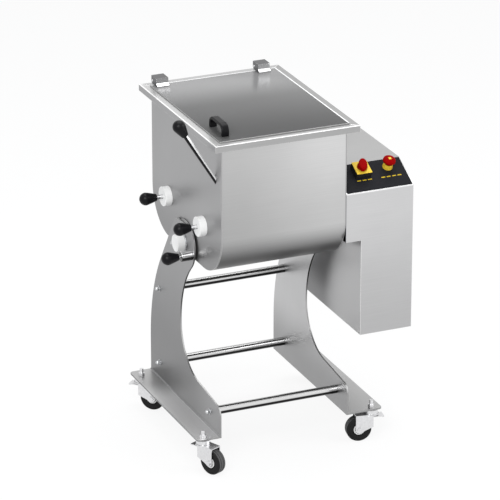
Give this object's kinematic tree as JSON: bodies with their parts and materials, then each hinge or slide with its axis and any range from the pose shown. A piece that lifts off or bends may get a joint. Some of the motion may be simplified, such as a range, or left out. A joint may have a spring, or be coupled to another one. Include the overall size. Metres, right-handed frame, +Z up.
{
  "type": "meat mixer",
  "caption": "Tilting twin-shaft meat mixer: steel tub with lid and paddles, geared drive cabinet with sloping panel, swinging on a curved plate stand with braked casters.",
  "frame": {"origin": "on the floor, under the middle of the whole machine", "axes": "+Z up, +X along the paddle shafts towards the drive cabinet, +Y from the operator's side to the lid's hinges"},
  "size_m": [0.761, 0.6508, 1.119],
  "materials": {
    "satin_steel": "satin stainless steel",
    "bright_steel": "polished steel",
    "white_plastic": "white food-grade plastic",
    "black_plastic": "glossy black",
    "zinc": "zinc plated",
    "wheel_rubber": "matt black rubber",
    "seal_rubber": "matt black rubber",
    "paddle_steel": "satin stainless steel",
    "gear_steel": "machined steel",
    "grey_paint": "grey paint on cast metal",
    "panel_black": "satin black",
    "yellow_plastic": "glossy yellow",
    "red_plastic": "glossy red",
    "smoked_sheet": "smoked see-through sheet"
  },
  "bodies": {
    "stand": {"left_stand_plate": "satin_steel", "right_stand_plate": "satin_steel", "cross_rods": "bright_steel", "stand_bolts": "bright_steel", "pivot_bushes": "white_plastic", "pivot_bosses": "satin_steel", "pivot_caps": "white_plastic", "caster_stems": "bright_steel", "index_housing": "bright_steel"},
    "index_plunger": {"index_pin": "bright_steel", "index_knob": "black_plastic"},
    "tub": {"trough": "satin_steel", "left_end_plate": "satin_steel", "right_end_plate": "satin_steel", "trunnions": "satin_steel", "lever_rod": "bright_steel", "lever_knob": "black_plastic", "bearing_caps": "white_plastic", "shaft_seals": "seal_rubber", "shaft_bearings": "gear_steel", "idler_axle": "gear_steel", "drive_plate": "satin_steel", "gearbox": "grey_paint", "motor": "grey_paint", "cabinet_shell": "satin_steel", "cabinet_back": "satin_steel", "cable_gland": "black_plastic", "panel_plate": "panel_black", "switch_base": "black_plastic", "switch_plate": "yellow_plastic", "stop_collar": "yellow_plastic", "hinge_lugs": "satin_steel", "hinge_pins": "bright_steel"},
    "lid": {"lid_sheet": "smoked_sheet", "lid_handle": "black_plastic", "lid_hinge_arms": "bright_steel"},
    "rear_pin": {"rear_shaft_pin": "bright_steel", "rear_shaft_knob": "black_plastic"},
    "front_pin": {"front_shaft_pin": "bright_steel", "front_shaft_knob": "black_plastic"},
    "rear_paddle": {"rear_paddle_shaft": "paddle_steel", "rear_gear": "gear_steel"},
    "front_paddle": {"front_paddle_shaft": "paddle_steel", "front_gear": "gear_steel"},
    "drive": {"drive_gear": "gear_steel"},
    "idler": {"idler_gear": "gear_steel"},
    "switch": {"switch_knob": "red_plastic"},
    "stop": {"stop_head": "red_plastic"},
    "front_left_swivel": {"front_left_fork": "zinc"},
    "front_left_roller": {"front_left_wheel": "wheel_rubber"},
    "front_left_pedal": {"front_left_brake": "zinc"},
    "rear_left_swivel": {"rear_left_fork": "zinc"},
    "rear_left_roller": {"rear_left_wheel": "wheel_rubber"},
    "rear_left_pedal": {"rear_left_brake": "zinc"},
    "front_right_swivel": {"front_right_fork": "zinc"},
    "front_right_roller": {"front_right_wheel": "wheel_rubber"},
    "front_right_pedal": {"front_right_brake": "zinc"},
    "rear_right_swivel": {"rear_right_fork": "zinc"},
    "rear_right_roller": {"rear_right_wheel": "wheel_rubber"},
    "rear_right_pedal": {"rear_right_brake": "zinc"}
  },
  "joints": [
    {"name": "tub_tilt", "type": "hinge", "parent": "stand", "child": "tub", "pos_m": [-0.04949, 0.02041, 0.6415], "axis": [1, 0, 0], "range_deg": [0, 90]},
    {"name": "index_slide", "type": "slide", "parent": "stand", "child": "index_plunger", "axis": [1, 0, 0], "range_m": [0, 0.0035]},
    {"name": "lid_hinge", "type": "hinge", "parent": "tub", "child": "lid", "pos_m": [-0.04949, 0.30141, 1.0715], "axis": [-1, 0, 0], "range_deg": [0, 100]},
    {"name": "rear_pin_slide", "type": "slide", "parent": "tub", "child": "rear_pin", "axis": [-1, 0, 0], "range_m": [0, 0.032]},
    {"name": "front_pin_slide", "type": "slide", "parent": "tub", "child": "front_pin", "axis": [-1, 0, 0], "range_m": [0, 0.032]},
    {"name": "rear_paddle_spin", "type": "hinge", "parent": "tub", "child": "rear_paddle", "pos_m": [-0.04949, 0.15841, 0.7435], "axis": [1, 0, 0], "continuous": true},
    {"name": "front_paddle_spin", "type": "hinge", "parent": "tub", "child": "front_paddle", "pos_m": [-0.04949, -0.11759, 0.7435], "axis": [1, 0, 0], "continuous": true},
    {"name": "drive_spin", "type": "hinge", "parent": "tub", "child": "drive", "pos_m": [-0.04949, 0.05441, 0.7435], "axis": [1, 0, 0], "continuous": true},
    {"name": "idler_spin", "type": "hinge", "parent": "tub", "child": "idler", "pos_m": [-0.04949, -0.01359, 0.7435], "axis": [1, 0, 0], "continuous": true},
    {"name": "switch_turn", "type": "hinge", "parent": "tub", "child": "switch", "pos_m": [0.23351, -0.19701, 0.88644], "axis": [0, -0.4608, 0.8875], "range_deg": [-90, 0]},
    {"name": "stop_press", "type": "slide", "parent": "tub", "child": "stop", "axis": [0, 0.4608, -0.8875], "range_m": [0, 0.004], "stiffness_N_per_m": 800, "springref_m": -0.004},
    {"name": "front_left_swivel_turn", "type": "hinge", "parent": "stand", "child": "front_left_swivel", "pos_m": [-0.31349, -0.24659, 0.0885], "axis": [0, 0, 1], "continuous": true},
    {"name": "front_left_wheel_roll", "type": "hinge", "parent": "front_left_swivel", "child": "front_left_roller", "pos_m": [-0.29681, -0.28405, 0.04], "axis": [0.9135, 0.4067, 0], "continuous": true},
    {"name": "front_left_pedal_press", "type": "hinge", "parent": "front_left_swivel", "child": "front_left_pedal", "pos_m": [-0.31145, -0.25116, 0.076], "axis": [-0.9135, -0.4067, 0], "range_deg": [0, 7]},
    {"name": "rear_left_swivel_turn", "type": "hinge", "parent": "stand", "child": "rear_left_swivel", "pos_m": [-0.31349, 0.25841, 0.0885], "axis": [0, 0, 1], "continuous": true},
    {"name": "rear_left_wheel_roll", "type": "hinge", "parent": "rear_left_swivel", "child": "rear_left_roller", "pos_m": [-0.28449, 0.22942, 0.04], "axis": [0.7071, 0.7071, 0], "continuous": true},
    {"name": "rear_left_pedal_press", "type": "hinge", "parent": "rear_left_swivel", "child": "rear_left_pedal", "pos_m": [-0.30995, 0.25487, 0.076], "axis": [-0.7071, -0.7071, 0], "range_deg": [0, 7]},
    {"name": "front_right_swivel_turn", "type": "hinge", "parent": "stand", "child": "front_right_swivel", "pos_m": [0.25151, -0.24659, 0.0885], "axis": [0, 0, 1], "continuous": true},
    {"name": "front_right_wheel_roll", "type": "hinge", "parent": "front_right_swivel", "child": "front_right_roller", "pos_m": [0.21114, -0.23947, 0.04], "axis": [-0.1736, -0.9848, 0], "continuous": true},
    {"name": "front_right_pedal_press", "type": "hinge", "parent": "front_right_swivel", "child": "front_right_pedal", "pos_m": [0.24659, -0.24572, 0.076], "axis": [0.1736, 0.9848, 0], "range_deg": [0, 7]},
    {"name": "rear_right_swivel_turn", "type": "hinge", "parent": "stand", "child": "rear_right_swivel", "pos_m": [0.25151, 0.25841, 0.0885], "axis": [0, 0, 1], "continuous": true},
    {"name": "rear_right_wheel_roll", "type": "hinge", "parent": "rear_right_swivel", "child": "rear_right_roller", "pos_m": [0.27503, 0.22482, 0.04], "axis": [0.8192, 0.5736, 0], "continuous": true},
    {"name": "rear_right_pedal_press", "type": "hinge", "parent": "rear_right_swivel", "child": "rear_right_pedal", "pos_m": [0.25438, 0.25431, 0.076], "axis": [-0.8192, -0.5736, 0], "range_deg": [0, 7]}
  ],
  "couplings": [
    {"joint": "front_paddle_spin", "follows": "rear_paddle_spin", "ratio": -1},
    {"joint": "drive_spin", "follows": "rear_paddle_spin", "ratio": -2.0588},
    {"joint": "idler_spin", "follows": "rear_paddle_spin", "ratio": 2.0588}
  ]
}
